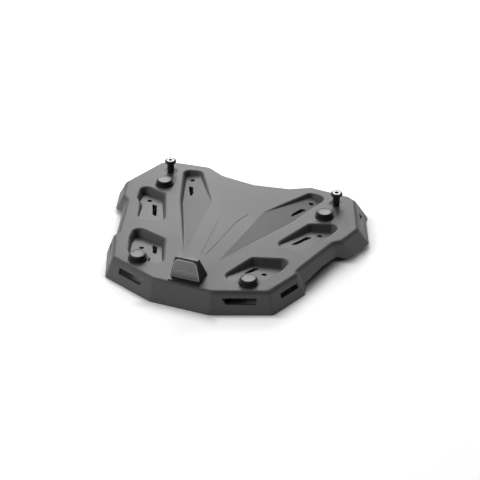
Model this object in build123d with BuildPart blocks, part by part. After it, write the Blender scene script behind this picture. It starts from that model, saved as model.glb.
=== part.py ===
from build123d import *
from math import cos, hypot, radians, tan
import os

os.makedirs("parts", exist_ok=True)

# Frame: origin at the bottom centre of the plate, +X right, +Y towards the studs, +Z up.

# Plate: deck and skirt
deck_height = 28.0
wall = 3.0
corner_round = 8.0
rim_round = 6.0

# Deck outline, right half, sharp corners from the front centre to the tail
front_centre = (0.0, 114.5)
step_inner = (47.5, 122.0)
step_outer = (73.0, 136.0)
shoulder_front = (124.0, 131.5)
shoulder_side = (137.5, 123.5)
wing_front = (161.5, 58.5)
wing_rear = (150.5, 23.5)
waist_front = (141.5, 16.5)
waist_rear = (119.5, -57.0)
hip_front = (122.0, -64.0)
hip_rear = (102.5, -111.0)
tail = (38.0, -135.5)

# How far each skirt facet leans out over the deck height, front centre to tail
flare_nose = 9.0
flare_step = 9.0
flare_front = 9.0
flare_shoulder = 17.0
flare_wing = 18.0
flare_wing_rear = 13.0
flare_neck = 7.0
flare_waist = 10.0
flare_kink = 10.0
flare_hip = 10.0
flare_rear = 9.0
flare_tail = 9.5

# Raised rim at the sides
foot_front = -56.0
foot_lean = 3.0
foot_height = 8.5
waist_rim_rear = -15.0
waist_rim_height = 12.0
waist_rim_front = 13.0
waist_rim_drop = 1.5
wing_rim_rear = 22.0
wing_rim_height = 4.8
rim_front = 128.0
rim_front_lean = 6.0
rim_reach = 60.0
arch_round = 5.0

# Pockets
pocket_draft = 28.0
pocket_corner_round = 9.0
pocket_edge_round = 4.0
pocket_floor_round = 2.0
pedestal_radius = 13.6

# Deck edges of the right pockets, and three floor points with their depths
front_pocket = [(102.0, 116.0), (77.0, 120.5), (8.0, 3.0), (8.0, -103.5), (76.0, 42.0)]
front_floor = [(36.0, 53.0, 0.0), (24.0, -58.0, 0.0), (102.0, 116.0, 8.5)]
mid_pocket = [(141.0, 62.0), (100.0, 48.0), (74.0, -15.0), (111.5, -16.0), (121.5, 14.5), (131.5, 28.0)]
mid_floor = [(141.0, 62.0, 10.3), (100.0, 62.0, 10.3), (92.0, -16.0, 2.0)]
rear_pocket = [(106.0, -36.0), (58.0, -50.0), (36.0, -108.0), (89.0, -94.0), (101.5, -63.0)]
rear_floor = [(106.0, -36.0, 11.4), (50.0, -36.0, 11.4), (60.0, -94.0, 3.2)]
pocket_reach = 13.0

# Fixing holes and strap slots
hole_radius = 3.3
boss_radius = 7.5
boss_depth = 17.0
front_hole = (84.1, 103.5)
mid_hole = (117.6, 36.3)
rear_hole = (81.4, -70.7)
slot_round = 1.2
front_slot = [(83.7, 88.5), (76.0, 85.4), (69.7, 70.7), (69.3, 59.5)]
mid_slot = [(110.6, 28.8), (103.2, 27.6), (91.3, -1.7), (98.1, 1.2)]
rear_slot = [(72.2, -57.9), (64.6, -59.6), (57.3, -79.0), (63.5, -76.8)]

# Skirt windows: along the facet from its front end, and up from the ground
rear_window = [(14.9, 20.2), (56.6, 20.2), (51.7, 12.3), (15.3, 12.3)]
hip_window = [(4.0, 18.8), (35.0, 18.8), (35.0, 12.5), (4.0, 12.5)]
wing_window = [(18.0, 20.0), (50.0, 20.0), (50.0, 14.0), (18.0, 14.0)]
window_round = 1.0

# Pads
pad_front = (111.8, 73.0)
pad_rear = (72.4, -101.3)
pad_radius = 11.9
pad_flange = 3.0
pad_edge = 0.6
pad_recess_radius = 7.0
pad_recess = 1.5
spigot_radius = 5.0
spigot_gap = 0.1
pad_boss_radius = 9.0
cap_radius = 10.3
cap_neck_radius = 9.3
cap_neck = 0.8
cap_side = 1.9
cap_height = 4.0
cap_top_radius = 8.25
pad_screw_radius = 2.0
pad_screw_head_radius = 7.0
pad_screw_head = 2.4
pad_screw_depth = 7.8

# Studs
stud_place = (117.3, 106.3)
stud_boss_radius = 11.0
dish_radius = 11.0
dish_floor_radius = 8.0
dish_depth = 1.5
sleeve_height = 18.8
sleeve_base_radius = 4.3
sleeve_belly_radius = 4.6
sleeve_neck_radius = 4.35
sleeve_bore_radius = 3.15
sleeve_head_radius = 7.7
sleeve_head_side = 2.2
sleeve_lip = 0.7
stud_thread_radius = 3.0
stud_head_radius = 5.4
stud_head = 3.3
stud_head_edge = 0.3
stud_socket = 5.0
stud_socket_depth = 2.2
washer_radius = 9.0
washer_bore_radius = 3.2
washer = 1.6
nut_across_flats = 10.0
nut = 6.0
nut_hexagon = 0.75
stud_tip = 1.6

# Latch block at the rear centre
latch_front_base = -102.5
latch_front_top = -113.5
latch_back_base = -122.5
latch_back_top = -119.5
latch_base_half = 20.5
latch_top_half = 14.7
latch_top = 55.0
latch_edge = 1.0
tongue_rear = -131.5
tongue_half = 19.0
tongue = 1.4
cover = 2.0
cover_bottom = 1.6
cover_margin = 0.9
cover_round = 2.5
cover_border = 1.1
cover_sink = 0.4
latch_screw_inset = 9.5
latch_screw_radius = 2.0
latch_screw_from_back = 9.5
latch_screw_head_radius = 4.0
latch_screw_head = 2.6
latch_screw_depth = 9.0
latch_boss_radius = 6.5

# Hexagon keyholes in the lower screws
key = 3.0
key_depth = 1.3

# Lower face of the bosses of the pads, studs and latch, down from the deck
screw_boss_depth = 8.0

# Ribs and slot collars below the deck
rib = 2.4
rib_depth = 15.0
inner_rib = 26.0
outer_rib = 52.0
waist_rib = -30.0
rear_rib = -112.0
slot_collar = 2.4
slot_collar_depth = 13.0

# Engraved lines on the deck
line_width = 0.7
line_depth = 0.4
deck_line = [(3.0, -65.0), (11.7, 20.0), (18.7, 40.5)]

outline = [
    front_centre, step_inner, step_outer, shoulder_front, shoulder_side, wing_front,
    wing_rear, waist_front, waist_rear, hip_front, hip_rear, tail,
]
flares = [
    flare_nose, flare_step, flare_front, flare_shoulder, flare_wing, flare_wing_rear,
    flare_neck, flare_waist, flare_kink, flare_hip, flare_rear, flare_tail,
]
deck_bottom = deck_height - wall
boss_bottom = deck_height - boss_depth
rib_bottom = deck_height - rib_depth
screw_boss_bottom = deck_height - screw_boss_depth
slope = hypot(latch_top - deck_height, latch_back_top - latch_back_base)
latch_screw_place = latch_base_half - latch_screw_inset
latch_screw_line = latch_back_base + latch_screw_from_back
cover_low = cover_bottom
cover_high = slope - cover_margin
cap_seat = deck_height + pad_flange
cap_bottom = cap_seat - pad_recess
sleeve_seat = deck_height - dish_depth
sleeve_top = sleeve_seat + sleeve_height
sleeve_shoulder = sleeve_top - sleeve_head_side - sleeve_lip
sleeve_neck_top = sleeve_shoulder - sleeve_lip * 2
sleeve_flat_radius = stud_head_radius + sleeve_lip / 2


def spread(distances):
    """Moves every facet line of the outline outward by its own distance."""
    first = (-outline[1][0], outline[1][1])
    last = (-outline[-1][0], outline[-1][1])
    corners = [first] + outline + [last]
    moves = [distances[0]] + distances
    lines = []
    for (ax, ay), (bx, by), move in zip(corners, corners[1:], moves):
        run = hypot(bx - ax, by - ay)
        nx = (ay - by) / run
        ny = (bx - ax) / run
        lines.append((nx, ny, nx * ax + ny * ay + move))
    moved = []
    for (ax, ay, a), (bx, by, b) in zip(lines, lines[1:]):
        scale = ax * by - ay * bx
        moved.append(((a * by - b * ay) / scale, (ax * b - bx * a) / scale))
    return moved


def level(height, inset):
    """Whole outline at one height, moved inward by the inset."""
    lean = (deck_height - height) / deck_height
    half = spread([flare * lean - inset for flare in flares])
    other = [(-x, y) for x, y in reversed(half) if x > 0.001]
    return [Vector(x, y, height) for x, y in half + other]


def flared(low, high):
    """Solid with flat sides between two outlines."""
    faces = [Face(Wire.make_polygon(low)), Face(Wire.make_polygon(high))]
    for i in range(len(low)):
        j = (i + 1) % len(low)
        faces.append(Face(Wire.make_polygon([low[i], low[j], high[j], high[i]])))
    return Solid(Shell(faces))


def floor_plane(points, drop):
    """Plane through three (x, y, depth) points below the deck, facing up."""
    a, b, c = [Vector(x, y, deck_height - depth - drop) for x, y, depth in points]
    normal = (b - a).cross(c - a)
    if normal.Z < 0:
        normal = normal * -1
    return Plane(origin=a, z_dir=normal)


def pocket_cut(corners, floor, reach):
    """Tapered pocket with rounded corners and a rounded edge at the deck."""
    with BuildPart() as tool:
        with BuildSketch(Plane.XY.offset(deck_height)):
            with BuildLine():
                Polyline(corners, close=True)
            make_face()
            fillet(vertices(), radius=pocket_corner_round)
        extrude(amount=-reach, taper=pocket_draft)
        mouth = tool.faces().sort_by(Axis.Z)[-1]
        size = mouth.bounding_box().size
        mouth_edges = mouth.edges()
        with BuildSketch(Plane.XY.offset(deck_height)):
            with Locations(mouth.center()):
                Rectangle(size.X * 2, size.Y * 2)
        extrude(amount=pocket_edge_round * 2)
        ring = [e for e in tool.edges() if min((e.center() - m.center()).length for m in mouth_edges) < 0.01]
        fillet(ring, radius=pocket_edge_round)
        floor_face = floor_plane(floor, 0)
        split(bisect_by=floor_face, keep=Keep.TOP)
        low = tool.faces().sort_by(lambda f: abs(floor_face.to_local_coords(f.center()).Z))[0]
        fillet(low.edges(), radius=pocket_floor_round)
    return tool.part


def pocket_tub(corners, floor, reach):
    """Material kept below a pocket, one wall thicker all round."""
    side = wall / cos(radians(pocket_draft))
    with BuildPart() as tool:
        with BuildSketch(Plane.XY.offset(deck_height)):
            with BuildLine():
                Polyline(corners, close=True)
            make_face()
            offset(amount=side, kind=Kind.INTERSECTION)
        extrude(amount=-reach - wall, taper=pocket_draft)
        split(bisect_by=floor_plane(floor, wall), keep=Keep.TOP)
    return tool.part


def window_cut(start, end, corners):
    """Opening through one skirt facet, square to it."""
    along = (Vector(*end, 0) - Vector(*start, 0)).normalized()
    facet = Plane(origin=(*start, 0), x_dir=along, z_dir=(-along.Y, along.X, 0))
    up = facet.y_dir.Z
    with BuildPart() as tool:
        with BuildSketch(facet) as opening:
            with BuildLine():
                Polyline([(s, z * up) for s, z in corners], close=True)
            make_face()
            fillet(vertices(), radius=window_round)
        extrude(amount=flare_wing + wall)
        extrude(opening.sketch, amount=-wall * 1.5)
    return tool.part


def latch_outline(height):
    """Latch block outline at one height."""
    share = (height - deck_height) / (latch_top - deck_height)
    half = latch_base_half + (latch_top_half - latch_base_half) * share
    front = latch_front_base + (latch_front_top - latch_front_base) * share
    back = latch_back_base + (latch_back_top - latch_back_base) * share
    corners = [(half, back), (half, front), (-half, front), (-half, back)]
    return [Vector(x, y, height) for x, y in corners]


def cover_half(climb):
    """Half width of the latch cover at one distance up the sloping back."""
    return latch_base_half + (latch_top_half - latch_base_half) * climb / slope - cover_margin


# Outer form of the plate
with BuildPart() as outer_form:
    add(flared(level(0, 0), level(deck_height, 0)))
    upright = outer_form.edges().filter_by(lambda e: e.bounding_box().size.Z > deck_height - 0.1)
    fillet(upright, radius=corner_round)
    fillet(outer_form.edges().group_by(Axis.Z)[-1], radius=rim_round)

# Hollow below the deck
with BuildPart() as hollow:
    add(flared(level(-1, wall), level(deck_bottom, wall)))

# Pockets on the right side
with BuildPart() as pocket_cuts:
    add(pocket_cut(front_pocket, front_floor, pocket_reach))
    add(pocket_cut(mid_pocket, mid_floor, pocket_reach))
    add(pocket_cut(rear_pocket, rear_floor, pocket_reach))
    with Locations((*pad_rear, deck_height)):
        Cone(
            bottom_radius=pedestal_radius + pocket_reach * tan(radians(pocket_draft)),
            top_radius=pedestal_radius,
            height=pocket_reach,
            align=(Align.CENTER, Align.CENTER, Align.MAX),
            mode=Mode.SUBTRACT,
        )

with BuildPart() as pocket_tubs:
    add(pocket_tub(front_pocket, front_floor, pocket_reach))
    add(pocket_tub(mid_pocket, mid_floor, pocket_reach))
    add(pocket_tub(rear_pocket, rear_floor, pocket_reach))

hollow_cut = hollow.part - pocket_tubs.part - mirror(pocket_tubs.part, Plane.YZ)

# Ribs and bosses below the deck, right half
with BuildPart() as right_supports:
    with BuildSketch(Plane.XY.offset(rib_bottom)):
        for x in (inner_rib, outer_rib):
            with Locations((x, 0)):
                Rectangle(rib, tail[1] * -3)
        for y in (front_hole[1], mid_hole[1], waist_rib, rear_rib):
            with Locations((wing_front[0] / 2, y)):
                Rectangle(wing_front[0], rib)
    extrude(amount=deck_bottom - rib_bottom)
    with BuildSketch(Plane.XY.offset(rib_bottom)):
        with Locations(pad_front, pad_rear):
            Circle(pad_boss_radius)
        with Locations(stud_place):
            Circle(stud_boss_radius)
        with Locations((latch_screw_place, latch_screw_line)):
            Circle(latch_boss_radius)
    extrude(amount=screw_boss_bottom - rib_bottom, mode=Mode.SUBTRACT)
    with BuildSketch(Plane.XY.offset(boss_bottom)):
        with Locations(front_hole, mid_hole, rear_hole):
            Circle(boss_radius)
    extrude(amount=deck_bottom - boss_bottom)
    with BuildSketch(Plane.XY.offset(screw_boss_bottom)):
        with Locations(pad_front, pad_rear):
            Circle(pad_boss_radius)
        with Locations(stud_place):
            Circle(stud_boss_radius)
        with Locations((latch_screw_place, latch_screw_line)):
            Circle(latch_boss_radius)
    extrude(amount=deck_bottom - screw_boss_bottom)
    for slot in (front_slot, mid_slot, rear_slot):
        with BuildSketch(Plane.XY.offset(deck_height - slot_collar_depth)):
            with BuildLine():
                Polyline(slot, close=True)
            make_face()
            offset(amount=slot_collar)
        extrude(amount=slot_collar_depth - wall)
    add(hollow.part, mode=Mode.INTERSECT)
    add(pocket_cuts.part, mode=Mode.SUBTRACT)

# Everything cut through the right half after the ribs
with BuildPart() as right_openings:
    with BuildSketch():
        with Locations(front_hole, mid_hole, rear_hole):
            Circle(hole_radius)
    extrude(amount=deck_height)
    for slot in (front_slot, mid_slot, rear_slot):
        with BuildSketch():
            with BuildLine():
                Polyline(slot, close=True)
            make_face()
            fillet(vertices(), radius=slot_round)
        extrude(amount=deck_height)
    with BuildSketch():
        with Locations(pad_front, pad_rear):
            Circle(spigot_radius + spigot_gap)
        with Locations(stud_place):
            Circle(washer_bore_radius)
        with Locations((latch_screw_place, latch_screw_line)):
            Circle(latch_screw_radius + spigot_gap)
    extrude(amount=deck_height)
    with Locations((*stud_place, deck_height)):
        Cone(
            bottom_radius=dish_floor_radius, top_radius=dish_radius, height=dish_depth,
            align=(Align.CENTER, Align.CENTER, Align.MAX),
        )
    add(window_cut(hip_rear, tail, rear_window))
    add(window_cut(hip_front, hip_rear, hip_window))
    add(window_cut(shoulder_side, wing_front, wing_window))
    with BuildSketch(Plane.YZ.offset(wing_front[0] - rim_reach)) as arch:
        with BuildLine():
            Polyline(
                (foot_front, -wall), (foot_front + foot_lean, foot_height),
                (waist_rim_rear, waist_rim_height), (waist_rim_front, waist_rim_height - waist_rim_drop),
                (wing_rim_rear, wing_rim_height), (rim_front - rim_front_lean, wing_rim_height),
                (rim_front, -wall), close=True,
            )
        make_face()
        fillet(arch.vertices().filter_by(lambda v: v.Y > 0), radius=arch_round)
    extrude(amount=rim_reach * 2)

# Engraved deck lines
with BuildPart() as deck_lines:
    with BuildSketch(Plane.XY.offset(deck_height - line_depth)):
        with BuildLine() as path:
            Polyline(deck_line)
        trace(line_width=line_width)
    extrude(amount=line_depth * 2)

# Plate
with BuildPart() as plate:
    add(outer_form.part)
    add(pocket_cuts.part, mode=Mode.SUBTRACT)
    add(mirror(pocket_cuts.part, Plane.YZ), mode=Mode.SUBTRACT)
    add(hollow_cut, mode=Mode.SUBTRACT)
    add(right_supports.part)
    add(mirror(right_supports.part, Plane.YZ))
    add(right_openings.part, mode=Mode.SUBTRACT)
    add(mirror(right_openings.part, Plane.YZ), mode=Mode.SUBTRACT)
    add(deck_lines.part, mode=Mode.SUBTRACT)
    add(mirror(deck_lines.part, Plane.YZ), mode=Mode.SUBTRACT)

plate.part.label = "plate"
export_step(plate.part, "parts/plate.step")

# Latch block: leans in at the front and the sides, nearly upright at the back
with BuildPart() as latch_block:
    add(flared(latch_outline(deck_height), latch_outline(latch_top)))
    sharp = latch_block.edges().filter_by(lambda e: e.center().Z > deck_height + 0.1)
    fillet(sharp, radius=latch_edge)
    with BuildSketch(Plane.XY.offset(deck_height)):
        with Locations((0, (latch_front_base + tongue_rear) / 2)):
            Rectangle(tongue_half * 2, latch_front_base - tongue_rear)
    extrude(amount=tongue)
    far_edges = latch_block.edges().filter_by(lambda e: e.center().Y < tongue_rear + 0.1)
    fillet(far_edges.group_by(Axis.Z)[-1], radius=tongue / 3)
    with BuildSketch(Plane.XY.offset(deck_height)):
        with Locations((-latch_screw_place, latch_screw_line), (latch_screw_place, latch_screw_line)):
            Circle(latch_screw_radius + spigot_gap)
    extrude(amount=latch_screw_depth, mode=Mode.SUBTRACT)

latch_block.part.label = "latch_block"
export_step(latch_block.part, "parts/latch_block.step")

# Latch cover: the face panel on the sloping back, with a raised border
latch_back = Plane(
    origin=(0, latch_back_base, deck_height), x_dir=(1, 0, 0),
    z_dir=(0, deck_height - latch_top, latch_back_top - latch_back_base),
)
with BuildPart() as latch_cover:
    with BuildSketch(latch_back) as panel:
        with BuildLine():
            Polyline(
                (-cover_half(cover_low), cover_low), (cover_half(cover_low), cover_low),
                (cover_half(cover_high), cover_high), (-cover_half(cover_high), cover_high), close=True,
            )
        make_face()
        fillet(panel.vertices().group_by(Axis.Z)[-1], radius=cover_round)
    extrude(amount=cover)
    with BuildSketch(latch_back.offset(cover)):
        with BuildLine():
            Polyline(
                (cover_border - cover_half(cover_low), cover_low + cover_border),
                (cover_half(cover_low) - cover_border, cover_low + cover_border),
                (cover_half(cover_high) - cover_border, cover_high - cover_border),
                (cover_border - cover_half(cover_high), cover_high - cover_border), close=True,
            )
        make_face()
    extrude(amount=-cover_sink, mode=Mode.SUBTRACT)

latch_cover.part.label = "latch_cover"
export_step(latch_cover.part, "parts/latch_cover.step")

# Pad base: flange on the deck, recess for the cap, spigot through the deck
with BuildPart() as pad_base_form:
    with BuildSketch(Plane.XY.offset(deck_height)):
        Circle(pad_radius)
    extrude(amount=pad_flange)
    fillet(pad_base_form.edges().group_by(Axis.Z)[-1], radius=pad_edge)
    with BuildSketch(Plane.XY.offset(deck_height + pad_flange)):
        Circle(pad_recess_radius)
    extrude(amount=-pad_recess, mode=Mode.SUBTRACT)
    with BuildSketch(Plane.XY.offset(screw_boss_bottom)):
        Circle(spigot_radius)
    extrude(amount=deck_height - screw_boss_bottom)
    with BuildSketch(Plane.XY.offset(screw_boss_bottom)):
        Circle(pad_screw_radius + spigot_gap)
    extrude(amount=pad_screw_depth + spigot_gap, mode=Mode.SUBTRACT)

# Pad cap: rubber tier with a plug below, a groove and a bevelled top
with BuildPart() as pad_cap_form:
    with BuildSketch(Plane.XZ):
        with BuildLine():
            Polyline(
                (0, cap_bottom), (pad_recess_radius - spigot_gap, cap_bottom),
                (pad_recess_radius - spigot_gap, cap_seat), (cap_neck_radius, cap_seat),
                (cap_neck_radius, cap_seat + cap_neck), (cap_radius, cap_seat + cap_neck),
                (cap_radius, cap_seat + cap_neck + cap_side), (cap_top_radius, cap_seat + cap_height),
                (0, cap_seat + cap_height), close=True,
            )
        make_face()
    revolve(axis=Axis.Z)

# Pad screw: wide head below the boss
with BuildPart() as pad_screw_form:
    with BuildSketch(Plane.XY.offset(screw_boss_bottom)):
        Circle(pad_screw_head_radius)
    extrude(amount=-pad_screw_head)
    fillet(pad_screw_form.edges().group_by(Axis.Z)[0], radius=pad_screw_head / 3)
    with BuildSketch(Plane.XY.offset(screw_boss_bottom)):
        Circle(pad_screw_radius)
    extrude(amount=pad_screw_depth)
    with BuildSketch(Plane.XY.offset(screw_boss_bottom - pad_screw_head)):
        RegularPolygon(key / 2, 6, major_radius=False)
    extrude(amount=key_depth, mode=Mode.SUBTRACT)

# The same screw form for the latch
with BuildPart() as latch_screw_form:
    with BuildSketch(Plane.XY.offset(screw_boss_bottom)):
        Circle(latch_screw_head_radius)
    extrude(amount=-latch_screw_head)
    fillet(latch_screw_form.edges().group_by(Axis.Z)[0], radius=latch_screw_head / 3)
    with BuildSketch(Plane.XY.offset(screw_boss_bottom)):
        Circle(latch_screw_radius)
    extrude(amount=deck_height - screw_boss_bottom + latch_screw_depth - spigot_gap * 5)
    with BuildSketch(Plane.XY.offset(screw_boss_bottom - latch_screw_head)):
        RegularPolygon(key / 2, 6, major_radius=False)
    extrude(amount=key_depth, mode=Mode.SUBTRACT)

# Stud sleeve: bellied neck and mushroom head, bored for the screw
with BuildPart() as stud_sleeve_form:
    with BuildSketch(Plane.XZ):
        with BuildLine():
            Polyline(
                (sleeve_neck_radius, sleeve_neck_top), (sleeve_head_radius - sleeve_lip, sleeve_neck_top + sleeve_lip),
                (sleeve_head_radius, sleeve_shoulder), (sleeve_head_radius, sleeve_shoulder + sleeve_lip),
            )
            ThreePointArc(
                (sleeve_head_radius, sleeve_shoulder + sleeve_lip),
                (sleeve_head_radius - sleeve_lip, sleeve_top - sleeve_lip),
                (sleeve_flat_radius, sleeve_top),
            )
            Polyline(
                (sleeve_flat_radius, sleeve_top), (stud_head_radius + spigot_gap, sleeve_top),
                (stud_head_radius + spigot_gap, sleeve_top - stud_head),
                (sleeve_bore_radius, sleeve_top - stud_head), (sleeve_bore_radius, sleeve_seat),
                (sleeve_base_radius, sleeve_seat),
            )
            ThreePointArc(
                (sleeve_base_radius, sleeve_seat),
                (sleeve_belly_radius, (sleeve_seat + sleeve_neck_top) / 2),
                (sleeve_neck_radius, sleeve_neck_top),
            )
        make_face()
    revolve(axis=Axis.Z)

# Stud screw: flat ring and hexagon socket on top, shank down to the nut
with BuildPart() as stud_screw_form:
    with BuildSketch(Plane.XY.offset(sleeve_top - stud_head)):
        Circle(stud_head_radius)
    extrude(amount=stud_head)
    chamfer(stud_screw_form.edges().group_by(Axis.Z)[-1], length=stud_head_edge)
    with BuildSketch(Plane.XY.offset(sleeve_top)):
        RegularPolygon(stud_socket / 2, 6, major_radius=False)
    extrude(amount=-stud_socket_depth, mode=Mode.SUBTRACT)
    with BuildSketch(Plane.XY.offset(screw_boss_bottom - washer - nut - stud_tip)):
        Circle(stud_thread_radius)
    extrude(amount=sleeve_top - stud_head - screw_boss_bottom + washer + nut + stud_tip)
    chamfer(stud_screw_form.edges().group_by(Axis.Z)[0], length=stud_head_edge * 2)

# Washer under the stud boss
with BuildPart() as stud_washer_form:
    with BuildSketch(Plane.XY.offset(screw_boss_bottom)):
        Circle(washer_radius)
        Circle(washer_bore_radius, mode=Mode.SUBTRACT)
    extrude(amount=-washer)

# Lock nut: hexagon with a round collar
with BuildPart() as stud_nut_form:
    with BuildSketch(Plane.XY.offset(screw_boss_bottom - washer)):
        RegularPolygon(nut_across_flats / 2, 6, major_radius=False)
    extrude(amount=-nut * nut_hexagon)
    with BuildSketch(Plane.XY.offset(screw_boss_bottom - washer)):
        Circle(nut_across_flats / 2 - stud_head_edge)
    extrude(amount=-nut)
    fillet(stud_nut_form.edges().group_by(Axis.Z)[0], radius=stud_head_edge * 2)
    with BuildSketch(Plane.XY.offset(screw_boss_bottom - washer)):
        Circle(stud_thread_radius + spigot_gap / 2)
    extrude(amount=-nut, mode=Mode.SUBTRACT)

sides = {"left": -1, "right": 1}
pads = {"front": pad_front, "rear": pad_rear}


def copy_to(name, form, x, y):
    """Exports a copy of a form that was made round the Z axis."""
    with BuildPart() as copy:
        with Locations((x, y)):
            add(form)
    copy.part.label = name
    export_step(copy.part, f"parts/{name}.step")


for side, sign in sides.items():
    for end, (x, y) in pads.items():
        copy_to(f"pad_base_{end}_{side}", pad_base_form.part, x * sign, y)
        copy_to(f"pad_cap_{end}_{side}", pad_cap_form.part, x * sign, y)
        copy_to(f"pad_screw_{end}_{side}", pad_screw_form.part, x * sign, y)
    copy_to(f"stud_sleeve_{side}", stud_sleeve_form.part, stud_place[0] * sign, stud_place[1])
    copy_to(f"stud_screw_{side}", stud_screw_form.part, stud_place[0] * sign, stud_place[1])
    copy_to(f"stud_washer_{side}", stud_washer_form.part, stud_place[0] * sign, stud_place[1])
    copy_to(f"stud_nut_{side}", stud_nut_form.part, stud_place[0] * sign, stud_place[1])
    copy_to(f"latch_screw_{side}", latch_screw_form.part, latch_screw_place * sign, latch_screw_line)
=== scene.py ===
from math import atan2, cos, hypot, pi, radians, sin

import bpy
from mathutils import Matrix, Vector


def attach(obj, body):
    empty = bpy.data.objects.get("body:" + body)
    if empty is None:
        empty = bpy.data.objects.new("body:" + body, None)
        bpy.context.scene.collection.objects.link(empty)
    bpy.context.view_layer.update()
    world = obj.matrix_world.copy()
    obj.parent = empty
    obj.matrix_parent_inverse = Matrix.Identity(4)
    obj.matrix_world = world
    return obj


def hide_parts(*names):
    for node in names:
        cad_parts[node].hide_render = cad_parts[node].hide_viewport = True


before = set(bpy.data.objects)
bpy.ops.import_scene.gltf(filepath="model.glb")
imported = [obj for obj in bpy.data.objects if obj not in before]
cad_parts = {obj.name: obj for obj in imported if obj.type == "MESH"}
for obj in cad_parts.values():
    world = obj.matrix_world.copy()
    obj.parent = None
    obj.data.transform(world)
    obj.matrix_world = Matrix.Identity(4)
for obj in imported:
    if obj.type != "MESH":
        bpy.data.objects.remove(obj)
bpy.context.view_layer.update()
bpy.ops.object.select_all(action="DESELECT")

# Camera. A long lens, as used for catalogue pictures, looks down on the plate from behind
# its right-hand rear corner. The angles and the distance were solved from mirror pairs on
# the plate.
photo_azimuth = radians(20.57)
photo_elevation = radians(33.42)
photo_roll = radians(0.32)
photo_place = Vector((0.5265, -1.3406, 0.9594))
photo_lens = 101.3
film_width = 36.0
camera_reach = 40.0
bpy.ops.object.camera_add(location=photo_place)
camera = bpy.context.object
camera.name = "photo_camera"
camera.matrix_world = (
    Matrix.Translation(photo_place)
    @ Matrix.Rotation(photo_azimuth, 4, "Z")
    @ Matrix.Rotation(pi / 2 - photo_elevation, 4, "X")
    @ Matrix.Rotation(photo_roll, 4, "Z")
)
camera.data.sensor_width = film_width
camera.data.lens = photo_lens
camera.data.clip_end = camera_reach
camera.data.dof.use_dof = False
bpy.context.scene.camera = camera
bpy.context.scene.view_settings.view_transform = "Standard"


# Floor and studio. A white table glows faintly, except below the plate, in a dark room with
# a white backdrop behind the plate. The softboxes' sheen lies on every face that looks up,
# and walls that face the camera stay dark.
class Wire:
    """An output socket of a material's nodes, with plain arithmetic."""

    def __init__(self, tree, socket):
        self.tree = tree
        self.socket = socket

    def node(self, kind, settings, inputs, output=0):
        """Adds a node, sets it up first, then gives its sockets values or links."""
        made = self.tree.nodes.new(kind)
        for name, value in settings.items():
            if name == "stops":
                ramp = made.color_ramp
                while len(ramp.elements) < len(value):
                    ramp.elements.new(0.5)
                for stop, (position, colour) in zip(ramp.elements, value):
                    stop.position = position
                    stop.color = colour
            else:
                setattr(made, name, value)
        for name, value in inputs.items():
            if isinstance(value, Wire):
                self.tree.links.new(value.socket, made.inputs[name])
            else:
                made.inputs[name].default_value = value
        if made.outputs:
            return Wire(self.tree, made.outputs[output])

    def maths(self, operation, first, second=0.0):
        return self.node("ShaderNodeMath", {"operation": operation}, {0: first, 1: second})

    def noise(self, scale, detail):
        """Noise at this place."""
        return self.node("ShaderNodeTexNoise", {}, {"Vector": self, "Scale": scale, "Detail": detail})

    def axis(self, number):
        """One coordinate of this place."""
        return self.node("ShaderNodeSeparateXYZ", {}, {0: self}, number)

    def blend(self, factor, first, second):
        """A colour between two others."""
        return self.node(
            "ShaderNodeMix", {"data_type": "RGBA"}, {0: factor, 6: first, 7: second}, 2,
        )

    def fade(self, value, start, end, first, second, curve="LINEAR"):
        """A number that goes from first to second while a value goes from start to end."""
        return self.node(
            "ShaderNodeMapRange", {"interpolation_type": curve},
            {0: value, 1: start, 2: end, 3: first, 4: second},
        )

    def bump(self, height, strength, depth):
        return self.node(
            "ShaderNodeBump", {}, {"Height": height, "Strength": strength, "Distance": depth},
        )

    def __add__(self, other):
        return self.maths("ADD", self, other)

    def __radd__(self, other):
        return self.maths("ADD", other, self)

    def __sub__(self, other):
        return self.maths("SUBTRACT", self, other)

    def __rsub__(self, other):
        return self.maths("SUBTRACT", other, self)

    def __mul__(self, other):
        return self.maths("MULTIPLY", self, other)

    def __rmul__(self, other):
        return self.maths("MULTIPLY", other, self)


def fresh_material(name):
    """A new material and its Object coordinates."""
    material = bpy.data.materials.new(name)
    material.use_nodes = True
    material.node_tree.nodes.clear()
    place = Wire(material.node_tree, None).node("ShaderNodeTexCoord", {}, {}, "Object")
    return material, place


def finish_material(place, sockets):
    """Gives a material its shader, with values or links for its sockets."""
    shader = place.node("ShaderNodeBsdfPrincipled", {}, sockets)
    place.node("ShaderNodeOutputMaterial", {}, {"Surface": shader})


def ray(place, kind):
    """1 where the ray that meets the surface is of one kind, and 0 elsewhere."""
    return place.node("ShaderNodeLightPath", {}, {}, f"Is {kind} Ray")


white = (1.0, 1.0, 1.0, 1.0)
unlit = (0.0, 0.0, 0.0, 1.0)
table_size = 16.0
table_colour = (0.97, 0.97, 0.97, 1.0)
table_roughness = 0.6
table_specular = 0.2
table_glow = (0.56, 0.56, 0.56, 1.0)
seen_glow_near = 0.50
seen_glow_far = 0.95
near_ends = 0.7
far_starts = 2.2
bpy.ops.mesh.primitive_plane_add(size=table_size, location=(0, 0, 0))
table = bpy.context.object
table.name = "studio_table"
table_finish, place = fresh_material("studio_table_white")
mirrored = place.maths("MAXIMUM", ray(place, "Glossy"), ray(place, "Transmission"))
seen = place.maths("MAXIMUM", ray(place, "Camera"), mirrored)
distance = place.node("ShaderNodeVectorMath", {"operation": "LENGTH"}, {0: place}, 1)
seen_glow = place.fade(
    distance, near_ends, far_starts, seen_glow_near, seen_glow_far, "SMOOTHSTEP",
)
glow = place.blend(seen, table_glow, seen_glow)

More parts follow.
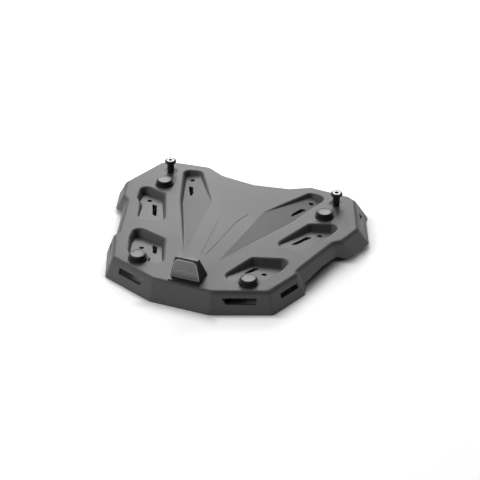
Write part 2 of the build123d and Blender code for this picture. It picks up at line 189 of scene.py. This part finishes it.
# The glow is off inside the plate's foot and fades in just outside it, a painted shadow under
# and round the plate. Each point of the outline is a distance towards the front, and the foot's
# half width there.
foot_ends = 0.146
foot_outline = [
    (-0.147, 0.040), (-0.118, 0.112), (-0.060, 0.130), (0.0165, 0.149), (0.024, 0.162),
    (0.058, 0.1745), (0.130, 0.150), (0.146, 0.125),
]
outline_reach = 0.2
shadow_starts = -0.010
shadow_fade = 0.020
along = place.axis(1)
half_width = place.node(
    "ShaderNodeValToRGB",
    {"stops": [
        (0.5 + front / outline_reach / 2, (half / outline_reach,) * 3 + (1.0,))
        for front, half in foot_outline
    ]},
    {0: along * (0.5 / outline_reach) + 0.5},
)
beside = place.maths("ABSOLUTE", place.axis(0)) * (1 / outline_reach) - half_width
beyond = (place.maths("ABSOLUTE", along) - foot_ends) * (1 / outline_reach)
# Painted shadow: the table's glow is cut under the plate and fades in round its foot.
clear = place.fade(
    place.maths("MAXIMUM", beside, beyond),
    shadow_starts / outline_reach, shadow_fade / outline_reach, 0.0, 1.0, "SMOOTHSTEP",
)
finish_material(place, {
    "Base Color": table_colour, "Roughness": table_roughness,
    "Specular IOR Level": table_specular, "Emission Strength": 1.0,
    "Emission Color": place.blend(clear, unlit, glow),
})
table.data.materials.append(table_finish)

room_level = 0.03
backdrop_side = 0.2
backdrop_top = 0.60
backdrop_fade = 0.2
world = bpy.data.worlds.new("studio_room")
bpy.context.scene.world = world
world.use_nodes = True
world.node_tree.nodes.clear()
sky = Wire(world.node_tree, None).node("ShaderNodeTexCoord", {}, {}, "Generated")
behind = sky.fade(sky.axis(1), backdrop_side, backdrop_side + backdrop_fade, 0.0, 1.0)
below_top = sky.fade(sky.axis(2), backdrop_top - backdrop_fade, backdrop_top, 1.0, 0.0)
mirrored = sky.maths("MAXIMUM", ray(sky, "Glossy"), ray(sky, "Transmission"))
seen = sky.maths("MAXIMUM", ray(sky, "Camera"), mirrored * behind * below_top)
room = sky.node("ShaderNodeBackground", {}, {
    "Color": white, "Strength": sky.fade(seen, 0.0, 1.0, room_level, 1.0),
})
sky.node("ShaderNodeOutputWorld", {}, {"Surface": room})


def softbox(name, place, width, height, power):
    """A rectangular studio lamp at a place, turned to face the plate."""
    bpy.ops.object.light_add(type="AREA", location=place)
    lamp = bpy.context.object
    lamp.name = name
    lamp.data.shape = "RECTANGLE"
    lamp.data.size = width
    lamp.data.size_y = height
    lamp.data.energy = power
    lamp.rotation_euler = (-Vector(place)).to_track_quat("-Z", "Y").to_euler()


softbox("softbox_behind", (-0.58, 1.65, 1.00), 0.9, 0.9, 19.0)
softbox("softbox_behind_left", (-1.00, 1.30, 0.85), 0.9, 0.9, 1.2)
softbox("softbox_high", (-0.80, 1.20, 2.00), 1.4, 1.4, 15.5)
softbox("softbox_left", (-1.80, 0.10, 0.90), 1.2, 0.9, 7.0)
softbox("softbox_front", (-1.20, -1.50, 1.20), 1.2, 0.9, 15.0)

# Plate. Injection-moulded glass-filled nylon, charcoal, with a fine spark-eroded grain all
# over. Flow marks vary a little over the deck, and thin edges are painted slightly paler as a
# painted highlight.
plastic_dark = (0.066, 0.066, 0.068, 1.0)
plastic_pale = (0.078, 0.078, 0.079, 1.0)
plastic_edge_highlight = (0.130, 0.130, 0.132, 1.0)
plastic_roughness = 0.42
plastic_grain_height = 0.25
grain_size = 1400.0
grain_depth = 0.0001
flow_mark_size = 14.0
edge_highlight_reach = 0.0006
edge_highlight_slope = 5.0
edge_highlight_patch_size = 220.0


def painted_edge_highlight(place):
    """Painted edge highlight: a mask that rises towards sharp edges, broken up by a coarse noise."""
    rounded = place.node("ShaderNodeBevel", {"samples": 6}, {"Radius": edge_highlight_reach})
    flat = place.node("ShaderNodeNewGeometry", {}, {}, "Normal")
    same = place.node("ShaderNodeVectorMath", {"operation": "DOT_PRODUCT"}, {0: rounded, 1: flat}, 1)
    edge = (1.0 - same) * edge_highlight_slope * place.noise(edge_highlight_patch_size, 3.0)
    return place.node("ShaderNodeClamp", {}, {0: edge})


def dress(material, *names):
    """Gives CAD nodes a material."""
    for name in names:
        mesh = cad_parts[name].data
        mesh.materials.clear()
        mesh.materials.append(material)


plate_finish, place = fresh_material("charcoal_moulded_plastic")
grain = place.noise(grain_size, 2.0)
flow_marks = place.noise(flow_mark_size, 4.0)
tone = place.blend(flow_marks, plastic_dark, plastic_pale)
# Thin edges are painted paler, a painted highlight along them.
finish_material(place, {
    "Base Color": place.blend(painted_edge_highlight(place), tone, plastic_edge_highlight),
    "Roughness": plastic_roughness + flow_marks * 0.10 + grain * 0.06,
    "Normal": place.bump(grain, plastic_grain_height, grain_depth),
})
dress(plate_finish, "plate")

# Latch block. Black acetal block that the case's lock closes on, screwed down from below in
# front of its face. Its tongue lies on the deck behind it. Satin, with a fine moulded grain.
black_colour = (0.010, 0.010, 0.011, 1.0)
black_pale = (0.018, 0.018, 0.019, 1.0)
black_roughness = 0.32
black_specular = 0.35
black_blotch_size = 60.0
black_grain_height = 0.2
black_finish, place = fresh_material("black_satin_plastic")
grain = place.noise(grain_size, 2.0)
finish_material(place, {
    "Base Color": place.blend(place.noise(black_blotch_size, 3.0), black_colour, black_pale),
    "Roughness": black_roughness + grain * 0.08, "Specular IOR Level": black_specular,
    "Normal": place.bump(grain, black_grain_height, grain_depth),
})
dress(black_finish, "latch_block")

# Latch face. Grey moulded panel clipped to the block's sloping back. It has a thin raised rim,
# rounded upper corners and a low raised arch across its lower half. The rim and the arch are
# painted paler than the panel, a painted highlight.
face_foot = Vector((0, -0.1225, 0.028))
face_rise = Vector((0, 0.003, 0.027))
face_turn = atan2(face_rise.z, face_rise.y)
face_low = 0.0011
face_high = 0.0259
face_low_half = 0.0188
face_high_half = 0.0134
face_thickness = 0.0020
face_corner = 0.0046
face_rim = 0.0013
face_sink = 0.0005
face_edge_round = 0.00025
merge_distance = 1e-7
smooth_angle = radians(30)


def settle(piece):
    """Applies a piece's place, shades it and points its faces outwards."""
    bpy.ops.object.select_all(action="DESELECT")
    bpy.context.view_layer.objects.active = piece
    piece.select_set(True)
    bpy.ops.object.mode_set(mode="EDIT")
    bpy.ops.mesh.select_all(action="SELECT")
    bpy.ops.mesh.remove_doubles(threshold=merge_distance)
    bpy.ops.mesh.normals_make_consistent(inside=False)
    bpy.ops.object.mode_set(mode="OBJECT")
    bpy.ops.object.transform_apply(location=True, rotation=True, scale=True)
    bpy.ops.object.shade_smooth_by_angle(angle=smooth_angle)
    bpy.ops.object.select_all(action="DESELECT")


bpy.ops.mesh.primitive_plane_add(size=2, location=(0, 0, 0))
face = bpy.context.object
face.name = "latch_face_panel"
bpy.ops.object.mode_set(mode="EDIT")
bpy.ops.mesh.select_all(action="DESELECT")
bpy.ops.object.mode_set(mode="OBJECT")
for corner in face.data.vertices:
    upper = corner.co.y > 0
    half = face_high_half if upper else face_low_half
    corner.co.x = half if corner.co.x > 0 else -half
    corner.co.y = face_high if upper else face_low
    corner.select = upper
bpy.ops.object.mode_set(mode="EDIT")
bpy.ops.mesh.select_mode(type="VERT")
bpy.ops.mesh.bevel(offset=face_corner, segments=6, affect="VERTICES")
bpy.ops.mesh.select_all(action="SELECT")
bpy.ops.mesh.extrude_region_move(TRANSFORM_OT_translate={"value": (0, 0, face_thickness)})
bpy.ops.mesh.inset(thickness=face_rim)
bpy.ops.mesh.extrude_region_move(TRANSFORM_OT_translate={"value": (0, 0, -face_sink)})
bpy.ops.mesh.inset(thickness=face_sink)
bpy.ops.object.mode_set(mode="OBJECT")
bevel = face.modifiers.new("soft_edges", "BEVEL")
bevel.width = face_edge_round
bevel.segments = 2
bevel.limit_method = "ANGLE"
bpy.ops.object.modifier_apply(modifier="soft_edges")
face.location = face_foot
face.rotation_euler = (face_turn, 0, 0)
settle(face)

arch_crown = 0.0118
arch_radius = 0.034
arch_width = 0.0008
arch_span = radians(50)
arch_steps = 16
arch_level = face_thickness - face_sink
arch_centre = (0, arch_crown - arch_radius, 0)
bpy.ops.mesh.primitive_plane_add(size=1, location=(0, 0, 0))
arch = bpy.context.object
arch.name = "latch_face_arch"
for corner in arch.data.vertices:
    across = arch_width / 2 if corner.co.x > 0 else -arch_width / 2
    upwards = arch_width / 2 if corner.co.y > 0 else -arch_width / 2
    corner.co = (0, arch_radius + across, arch_level + upwards)
bpy.ops.object.mode_set(mode="EDIT")
bpy.ops.mesh.select_all(action="SELECT")
bpy.ops.transform.translate(value=arch_centre)
bpy.ops.transform.rotate(
    value=-arch_span / 2, orient_axis="Z", center_override=arch_centre,
)
bpy.ops.mesh.spin(steps=arch_steps, angle=arch_span, center=arch_centre, axis=(0, 0, 1))
bpy.ops.object.mode_set(mode="OBJECT")
arch.location = face_foot
arch.rotation_euler = (face_turn, 0, 0)
settle(arch)

face_colour = (0.150, 0.142, 0.143, 1.0)
face_pale = (0.190, 0.183, 0.184, 1.0)
rim_highlight_colour = (0.330, 0.320, 0.335, 1.0)
face_roughness = 0.40
face_speck_size = 420.0
face_grain_size = 1500.0
face_relief_height = 0.35
face_relief_depth = 0.0002
face_finish, place = fresh_material("grey_panel_plastic")
specks = place.noise(face_speck_size, 3.0)
grain = place.noise(face_grain_size, 2.0)
out_y = face_foot.y - place.axis(1)
up_z = place.axis(2) - face_foot.z
stands_out = out_y * sin(face_turn) + up_z * cos(face_turn)
# The raised rim and arch are painted paler, a painted highlight.
raised_painted_highlight = place.maths("GREATER_THAN", stands_out, face_thickness - face_sink / 2)
tone = place.blend(specks, face_colour, face_pale)
finish_material(place, {
    "Base Color": place.blend(raised_painted_highlight, tone, rim_highlight_colour),
    "Roughness": face_roughness + grain * 0.15,
    "Normal": place.bump(specks + grain * 0.5, face_relief_height, face_relief_depth),
})
for piece in (face, arch):
    piece.data.materials.append(face_finish)
    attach(piece, "root")
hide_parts("latch_cover")

# Pads. Black rubber bases pushed through the deck and held by screws from below. The case
# stands on the smooth caps, which have a rounded brim and a very shallow dish. Each cap's
# upward-facing top is painted grey as painted light, and its sides and brim are painted black
# as painted shade.
rubber_colour = (0.012, 0.012, 0.013, 1.0)
rubber_pale = (0.022, 0.022, 0.023, 1.0)
rubber_roughness = 0.50
rubber_specular = 0.3
rubber_grain_size = 900.0
rubber_grain_height = 0.3
rubber_dust_size = 130.0
rubber_finish, place = fresh_material("black_rubber")
dust = place.noise(rubber_dust_size, 3.0)
grain = place.noise(rubber_grain_size, 3.0)
finish_material(place, {
    "Base Color": place.blend(dust, rubber_colour, rubber_pale),
    "Roughness": rubber_roughness + dust * 0.12, "Specular IOR Level": rubber_specular,
    "Normal": place.bump(grain, rubber_grain_height, grain_depth),
})
for end in ("front", "rear"):
    for side in ("left", "right"):
        dress(rubber_finish, f"pad_base_{end}_{side}")

cap_painted_lit_colour = (0.070, 0.070, 0.071, 1.0)
cap_painted_lit_pale = (0.090, 0.090, 0.092, 1.0)
cap_roughness = 0.36
cap_specular = 0.5
cap_side_roughness = 0.40
cap_grain_size = 1200.0
cap_grain_height = 0.15
cap_blotch_size = 110.0


def cap_plastic(name, dark, pale, roughness, specular):
    """Smooth moulded plastic with soft blotches, for one part of the caps. The caps' tops and sides
    get two of these, as painted light and painted shade.
    """
    material, place = fresh_material(name)
    blotches = place.noise(cap_blotch_size, 3.0)
    grain = place.noise(cap_grain_size, 2.0)
    finish_material(place, {
        "Base Color": place.blend(blotches, dark, pale),
        "Roughness": roughness + blotches * 0.08, "Specular IOR Level": specular,
        "Normal": place.bump(grain, cap_grain_height, grain_depth),
    })
    return material


cap_lit_and_shaded_finishes = (
    cap_plastic("cap_top_painted_lit", cap_painted_lit_colour, cap_painted_lit_pale, cap_roughness, cap_specular),
    cap_plastic("cap_side_painted_shade", rubber_colour, rubber_pale, cap_side_roughness, rubber_specular),
)

mm = 0.001
turned_steps = 72
cap_profile = [
    (0.0, 29.5), (6.9, 29.5), (6.9, 31.1), (9.3, 31.1), (9.3, 31.9), (9.9, 31.9), (10.2, 32.1),
    (10.3, 32.5), (10.3, 33.3), (10.1, 33.9), (9.7, 34.4), (9.2, 34.75), (8.6, 34.95),
    (8.2, 35.0), (7.9, 34.97), (7.6, 34.85), (7.3, 34.72), (6.5, 34.68), (0.0, 34.68),
]
cap_painted_lit_radius = 8.45 * mm
painted_lit_facing_up = 0.1
pad_places = {
    "front_left": (-0.1118, 0.0730), "front_right": (0.1118, 0.0730),
    "rear_left": (-0.0724, -0.1013), "rear_right": (0.0724, -0.1013),
}


def turned(name, profile):
    """Spins a profile of (radius, height) points in millimetres round the z axis."""
    bpy.ops.mesh.primitive_circle_add(vertices=3, radius=mm, location=(0, 0, 0))
    piece = bpy.context.object
    piece.name = name
    bpy.ops.object.mode_set(mode="EDIT")
    bpy.ops.mesh.select_all(action="SELECT")
    bpy.ops.mesh.merge(type="CENTER")
    radius, height = profile[0]
    bpy.ops.transform.translate(value=(radius * mm, 0, height * mm))
    for next_radius, next_height in profile[1:]:
        step = ((next_radius - radius) * mm, 0, (next_height - height) * mm)
        bpy.ops.mesh.extrude_region_move(TRANSFORM_OT_translate={"value": step})
        radius, height = next_radius, next_height
    bpy.ops.mesh.select_all(action="SELECT")
    bpy.ops.mesh.spin(steps=turned_steps, angle=2 * pi, center=(0, 0, 0), axis=(0, 0, 1))
    bpy.ops.object.mode_set(mode="OBJECT")
    settle(piece)
    return piece


def copies(piece, name, places):
    """Copies a piece, each with its own mesh, to named places, and drops the first."""
    made = {}
    for label, (x, y) in places.items():
        copy = piece.copy()
        copy.data = piece.data.copy()
        copy.name = f"{name}_{label}"
        copy.data.transform(Matrix.Translation((x, y, 0)))
        bpy.context.collection.objects.link(copy)
        made[label] = copy
    bpy.data.objects.remove(piece)
    return made


cap = turned("pad_disc", cap_profile)
for finish in cap_lit_and_shaded_finishes:
    cap.data.materials.append(finish)
# Upward-facing top facets get the paler finish as painted light; sides, brim and steep facets get the
# black one as painted shade.
for facet in cap.data.polygons:
    outside = hypot(facet.center.x, facet.center.y) > cap_painted_lit_radius
    facet.material_index = 1 if outside or facet.normal.z < painted_lit_facing_up else 0
for label, disc in copies(cap, "pad_disc", pad_places).items():
    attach(disc, "root")
    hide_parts(f"pad_cap_{label}")

# Studs. Rubber sleeves with a mushroom head, which the case's hooks slide under. Each is
# held by a black-oxide cap screw, whose head shows in the sleeve's, and by a nut and washer.
sleeve_profile = [
    (3.15, 26.5), (4.3, 26.5), (4.4, 28.0), (4.6, 30.5), (4.65, 33.0), (4.6, 35.5), (4.4, 37.5),
    (4.35, 38.6), (4.7, 39.4), (5.6, 40.2), (6.6, 40.9), (7.3, 41.7), (7.65, 42.6), (7.7, 43.3),
    (7.55, 44.0), (7.2, 44.6), (6.7, 45.05), (6.2, 45.25), (5.8, 45.3), (5.55, 45.1), (5.5, 44.6),
    (5.5, 42.0), (3.15, 42.0), (3.15, 26.5),
]
stud_places = {"left": (-0.1173, 0.1063), "right": (0.1173, 0.1063)}
sleeve = turned("stud_collar", sleeve_profile)
sleeve.data.materials.append(rubber_finish)
for label, collar in copies(sleeve, "stud_collar", stud_places).items():
    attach(collar, "root")
    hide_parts(f"stud_sleeve_{label}")

screw_colour = (0.150, 0.150, 0.152, 1.0)
screw_pale = (0.210, 0.210, 0.212, 1.0)
screw_roughness = 0.30
socket_painted_shade_colour = (0.004, 0.004, 0.004, 1.0)
socket_shade_radius = 0.0026
brushed_size = 700.0
brushed_height = 0.2
brushed_depth = 0.00005
oxide_finish, place = fresh_material("black_oxide_steel")
brushed = place.noise(brushed_size, 3.0)
stud_x, stud_y = stud_places["right"]
out_x = place.maths("ABSOLUTE", place.axis(0)) - stud_x
out_y = place.axis(1) - stud_y
from_axis = place.maths("POWER", out_x * out_x + out_y * out_y, 0.5)
# The screw's socket is painted black and not metallic, a painted shade in the hollow.
socket = place.maths("LESS_THAN", from_axis, socket_shade_radius)
tone = place.blend(brushed, screw_colour, screw_pale)
finish_material(place, {
    "Base Color": place.blend(socket, tone, socket_painted_shade_colour),
    "Roughness": screw_roughness + brushed * 0.12, "Metallic": 1.0 - socket,
    "Normal": place.bump(brushed, brushed_height, brushed_depth),
})
for side in ("left", "right"):
    dress(oxide_finish, f"stud_screw_{side}")

# Stud seats. Smooth shallow bowls round each stud's foot, moulded into the deck in the
# plate's own plastic. Each one lines the dish that the plate has there.
seat_profile = [
    (4.8, 26.62), (5.4, 26.7), (6.2, 26.95), (7.1, 27.3), (8.0, 27.6), (9.0, 27.82), (10.0, 27.93),
    (10.95, 27.97), (10.95, 26.6), (4.8, 26.6), (4.8, 26.62),
]
seat = turned("stud_seat", seat_profile)
seat.data.materials.append(plate_finish)
for bowl in copies(seat, "stud_seat", stud_places).values():
    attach(bowl, "root")

# Hardware below the deck. Zinc-plated washers and nuts under the studs, and zinc-plated
# screws up into the pads and the latch block.
zinc_colour = (0.52, 0.52, 0.53, 1.0)
zinc_pale = (0.66, 0.66, 0.67, 1.0)
zinc_roughness = 0.34
zinc_stain_size = 160.0
zinc_finish, place = fresh_material("zinc_plated_steel")
brushed = place.noise(brushed_size, 3.0)
finish_material(place, {
    "Base Color": place.blend(place.noise(zinc_stain_size, 2.0), zinc_colour, zinc_pale),
    "Roughness": zinc_roughness + brushed * 0.16, "Metallic": 1.0,
    "Normal": place.bump(brushed, brushed_height, brushed_depth),
})
for side in ("left", "right"):
    dress(zinc_finish, f"stud_washer_{side}", f"stud_nut_{side}", f"latch_screw_{side}")
    dress(zinc_finish, f"pad_screw_front_{side}", f"pad_screw_rear_{side}")
